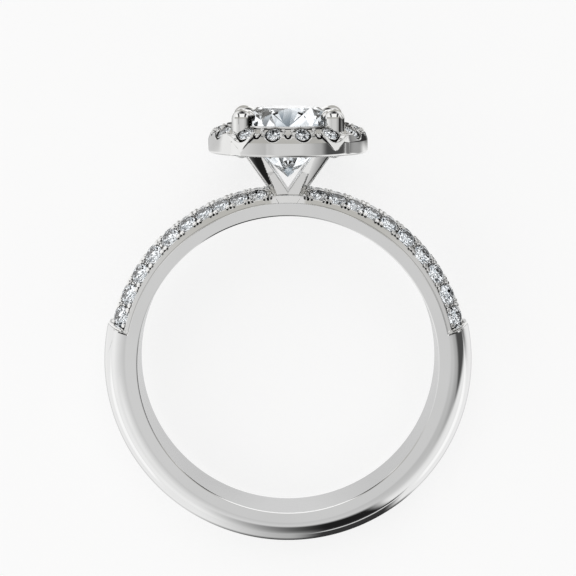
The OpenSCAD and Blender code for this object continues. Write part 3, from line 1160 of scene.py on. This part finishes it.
mesh = bpy.data.meshes.new("floor")
half = 1.5
mesh.from_pydata([(-half, -half, 0), (half, -half, 0), (half, half, 0), (-half, half, 0)], [], [(0, 1, 2, 3)])
floor = bpy.data.objects.new("floor", mesh)
bpy.context.scene.collection.objects.link(floor)
mat = bpy.data.materials.new("floor_paper")
nt, out = nodes_of(mat)
g = Net(nt)
d = nt.nodes.new("ShaderNodeBsdfPrincipled")
d.inputs["Base Color"].default_value = (0.34, 0.34, 0.34, 1)
d.inputs["Roughness"].default_value = 0.9
d.inputs["Specular IOR Level"].default_value = 0.0
d.inputs["Emission Color"].default_value = (1, 1, 1, 1)
d.inputs["Emission Strength"].default_value = 0.737
# what polished metal sees beside the paper's lit part: the studio's darker sides
tc = nt.nodes.new("ShaderNodeTexCoord")
sep = nt.nodes.new("ShaderNodeSeparateXYZ")
nt.links.new(tc.outputs["Object"], sep.inputs["Vector"])
fx = g.math("MULTIPLY", sep.outputs[0], 1000.0)
fy = g.math("ADD", g.math("MULTIPLY", sep.outputs[1], 1000.0), 2.08)
fr = g.math("SQRT", g.math("ADD", g.math("MULTIPLY", fx, fx), g.math("MULTIPLY", fy, fy)))
down = g.math("MULTIPLY", fy, -1.0)
apart = g.math("ABSOLUTE", fx)
ang = g.math("DIVIDE", fx, g.math("MAXIMUM", down, 0.5))
stripe = g.times(g.ramp(fr, 20, 23), g.ramp(fr, 32, 28), g.ramp(ang, 0.05, 0.25))
beyond = g.ramp(fr, 8.7, 10.0)
low = g.times(g.ramp(ang, 0.80, 0.60), g.ramp(ang, -0.60, 0.12), g.ramp(down, 2, 9), beyond,
              g.less(g.ramp(ang, 0.2, 0.0), 0.45), g.less(stripe, 0.85))
# painted shadow of the ring on the floor beside its lower part, seen only in reflections
rim = g.times(g.ramp(fr, 13.6, 11.4), beyond, g.ramp(down, 3, 7), g.ramp(ang, 1.0, 0.75), g.ramp(ang, -0.75, -0.05))
# painted shade on the floor inside the ring, seen only in the bore's reflection, darker towards the left and right
inside = g.ramp(fr, 9.2, 8.6)
wide = g.span(g.ramp(g.math("ABSOLUTE", fx), 4.8, 0.4), 0, 1, 0.74, 0.86)
side = g.math("DIVIDE", fy, g.math("MAXIMUM", fx, 0.5))
right = g.math("MAXIMUM", g.times(g.ramp(fx, 6, 11), g.ramp(fy, 7.0, 9.0), g.ramp(fr, 60, 40), g.ramp(side, 1.5, 0.9)),
               g.times(g.ramp(fr, 14, 30), g.ramp(side, -0.14, 0.06), g.ramp(side, 0.32, 0.16)))
# painted shadow of the ring on the floor all around it, seen only in reflections
near = g.times(g.ramp(fr, 13.0, 10.4), beyond)
head = g.times(g.ramp(fy, 11.0, 14.0), g.ramp(apart, 9, 6))
bright = g.times(g.ramp(fr, 15, 20), g.ramp(fr, 60, 40), g.ramp(down, 2, 6), g.ramp(g.math("ABSOLUTE", ang), 0.85, 1.1))
col = g.mix(bright, 0.97, 1.14)
col = g.mix(low, col, 0.04)
far = g.ramp(fr, 22, 45)
col = g.mix(g.math("MULTIPLY", right, 0.90), col, g.mix(far, 0.32, 0.13))
col = g.mix(head, col, (0.50, 0.49, 0.465))
col = g.mix(g.times(g.ramp(fx, -4.2, -5.6), g.ramp(fx, -24, -14), g.ramp(fy, 10.5, 12.0), g.ramp(fy, 20, 17)), col, 0.66)
col = g.mix(g.times(g.ramp(fy, 36, 50), g.ramp(apart, 26, 16)), col, 0.03)
col = g.mix(g.times(g.ramp(fy, 11.6, 12.4), g.ramp(fy, 15.2, 14.2), g.ramp(apart, 3.0, 3.4), g.ramp(apart, 6.0, 4.6)), col, 0.03)
col = g.mix(g.times(g.ramp(fy, 11.7, 12.7), g.ramp(fx, 3.5, 7.0), g.ramp(fy, 15.2, 14.2)), col, 0.035)
col = g.mix(g.times(g.ramp(fy, 13.4, 14.2), g.ramp(apart, 2.6, 1.9), g.ramp(fy, 24, 19)), col, 1.15)
col = g.mix(g.math("MULTIPLY", near, 0.5), col, 0.25)
col = g.mix(g.math("MULTIPLY", rim, 0.85), col, 0.02)
shaded = nt.nodes.new("ShaderNodeCombineColor")
for i in range(3):
    nt.links.new(wide, shaded.inputs[i])
col = g.mix(inside, col, shaded.outputs[0])
lp = nt.nodes.new("ShaderNodeLightPath")
shade = g.blend(lp.outputs["Is Glossy Ray"], d.outputs["BSDF"], g.emit(col))
# light inside the stones meets a broken pattern here too
noise = nt.nodes.new("ShaderNodeTexNoise")
noise.noise_dimensions = "4D"
noise.name = "floor_pattern"
noise.inputs["W"].default_value = 25.7
noise.inputs["Scale"].default_value = 110.0
noise.inputs["Detail"].default_value = 1.0
nt.links.new(tc.outputs["Object"], noise.inputs["Vector"])
shade = g.blend(lp.outputs["Is Transmission Ray"], shade, g.emit(panels(nt, noise.outputs["Fac"])))
nt.links.new(shade, out.inputs["Surface"])
floor.data.materials.append(mat)

world = bpy.data.worlds.new("studio")
bpy.context.scene.world = world
world.use_nodes = True
nt = world.node_tree
nt.nodes.clear()
g = Net(nt)
tc = nt.nodes.new("ShaderNodeTexCoord")
sep = nt.nodes.new("ShaderNodeSeparateXYZ")
nt.links.new(tc.outputs["Generated"], sep.inputs["Vector"])
X, Y, Z = sep.outputs
# soft overhead field, brighter towards the sides, with a small bright middle
base = g.math("ADD", g.span(Z, 0.90, 0.20, 0.62, 0.965), g.times(g.ramp(Z, 0.875, 0.94), 0.10))
base = g.math("ADD", base, g.times(g.ramp(g.math("ADD", X, Y), -0.35, -1.1), 0.04))
base = g.math("SUBTRACT", base, g.times(X, g.ramp(Z, 0.36, 0.62), g.ramp(Y, -0.25, -0.5), 0.24))
sky = nt.nodes.new("ShaderNodeCombineColor")
for i in range(3):
    nt.links.new(base, sky.inputs[i])
sky = sky.outputs[0]
# up the picture it is darker and a little warm, then bright again behind a dark strip
sky = g.mix(g.ramp(Y, 0.0, 0.24), sky, (0.515, 0.508, 0.485))
sky = g.mix(g.times(g.ramp(Y, 0.34, 0.42), g.ramp(Y, 0.985, 0.95)), sky, 1.12)
apart = g.math("ABSOLUTE", X)
sides = g.math("ADD", g.times(g.ramp(X, 0.38, 0.46), g.ramp(X, 0.74, 0.62)),
               g.times(g.ramp(X, -0.38, -0.45), g.ramp(X, -0.68, -0.57)))
strip = g.times(g.ramp(Y, 0.34, 0.40), g.ramp(Y, 0.90, 0.84), g.ramp(Z, -0.02, 0.10), sides)
sky = g.mix(g.math("MULTIPLY", strip, 0.97), sky, 0.02)
sky = g.mix(g.times(g.ramp(Z, 0.50, 0.40), g.ramp(Y, 0.86, 0.91), g.ramp(apart, 0.60, 0.45)), sky, 0.02)
# a dark side to the right
edge = g.math("ADD", Y, g.math("MULTIPLY", Z, 0.75))
ease = g.math("ADD", g.times(g.ramp(X, 0.42, 0.74), 0.42), g.times(g.ramp(X, 0.72, 0.86), 0.56))
dark = g.times(ease, g.ramp(edge, -0.22, -0.02), g.ramp(Y, 0.30, 0.12))
sky = g.mix(dark, sky, 0.065)
# a dark gap below, which fades slowly to the left
ang = g.math("DIVIDE", X, g.math("MAXIMUM", g.math("MULTIPLY", Y, -1), 0.05))
bent = g.math("ADD", ang, g.math("MULTIPLY", Z, 0.25))
gap = g.times(g.ramp(Y, -0.69, -0.82), g.ramp(bent, 0.62, 0.47), g.ramp(ang, -0.52, 0.18),
              g.less(g.times(g.ramp(Z, 0.35, -0.15), g.ramp(ang, 0.2, 0.0)), 0.3))
sky = g.mix(gap, sky, 0.015)
# a broken pattern of panels, which only the light inside the stones meets
noise = nt.nodes.new("ShaderNodeTexNoise")
noise.noise_dimensions = "4D"
noise.name = "world_pattern"
noise.inputs["W"].default_value = 5.7
noise.inputs["Scale"].default_value = 2.6
noise.inputs["Detail"].default_value = 1.0
nt.links.new(tc.outputs["Generated"], noise.inputs["Vector"])
lp = nt.nodes.new("ShaderNodeLightPath")
shade = g.blend(lp.outputs["Is Transmission Ray"], g.emit(sky, "ShaderNodeBackground"),
                g.emit(panels(nt, noise.outputs["Fac"]), "ShaderNodeBackground"))
shade = g.blend(lp.outputs["Is Camera Ray"], shade, g.emit(0.94, "ShaderNodeBackground"))
wo = nt.nodes.new("ShaderNodeOutputWorld")
nt.links.new(shade, wo.inputs["Surface"])

scene = bpy.context.scene
scene.view_settings.view_transform = "Standard"
scene.view_settings.look = "None"
scene.view_settings.exposure = 0.0
scene.view_settings.gamma = 1.0
scene.cycles.max_bounces = 16
scene.cycles.transmission_bounces = 16
scene.cycles.glossy_bounces = 8
scene.cycles.sample_clamp_indirect = 8.0

cam_data = bpy.data.cameras.new("camera")
cam = bpy.data.objects.new("camera", cam_data)
scene.collection.objects.link(cam)
cam_data.sensor_fit = "HORIZONTAL"
cam_data.sensor_width = 36.0
cam_data.lens = 113.74
cam_data.clip_start = 0.005
cam_data.clip_end = 20.0
from mathutils import Matrix, Vector
fwd = Vector((0.0, -0.0147123, -0.9998945))
upv = Vector((0.0, 0.9998945, -0.0147123))
right = fwd.cross(upv)
cam.matrix_world = Matrix(((right.x, upv.x, -fwd.x, 0.0),
                           (right.y, upv.y, -fwd.y, 0.00346790),
                           (right.z, upv.z, -fwd.z, 0.10380779),
                           (0, 0, 0, 1)))
scene.camera = cam
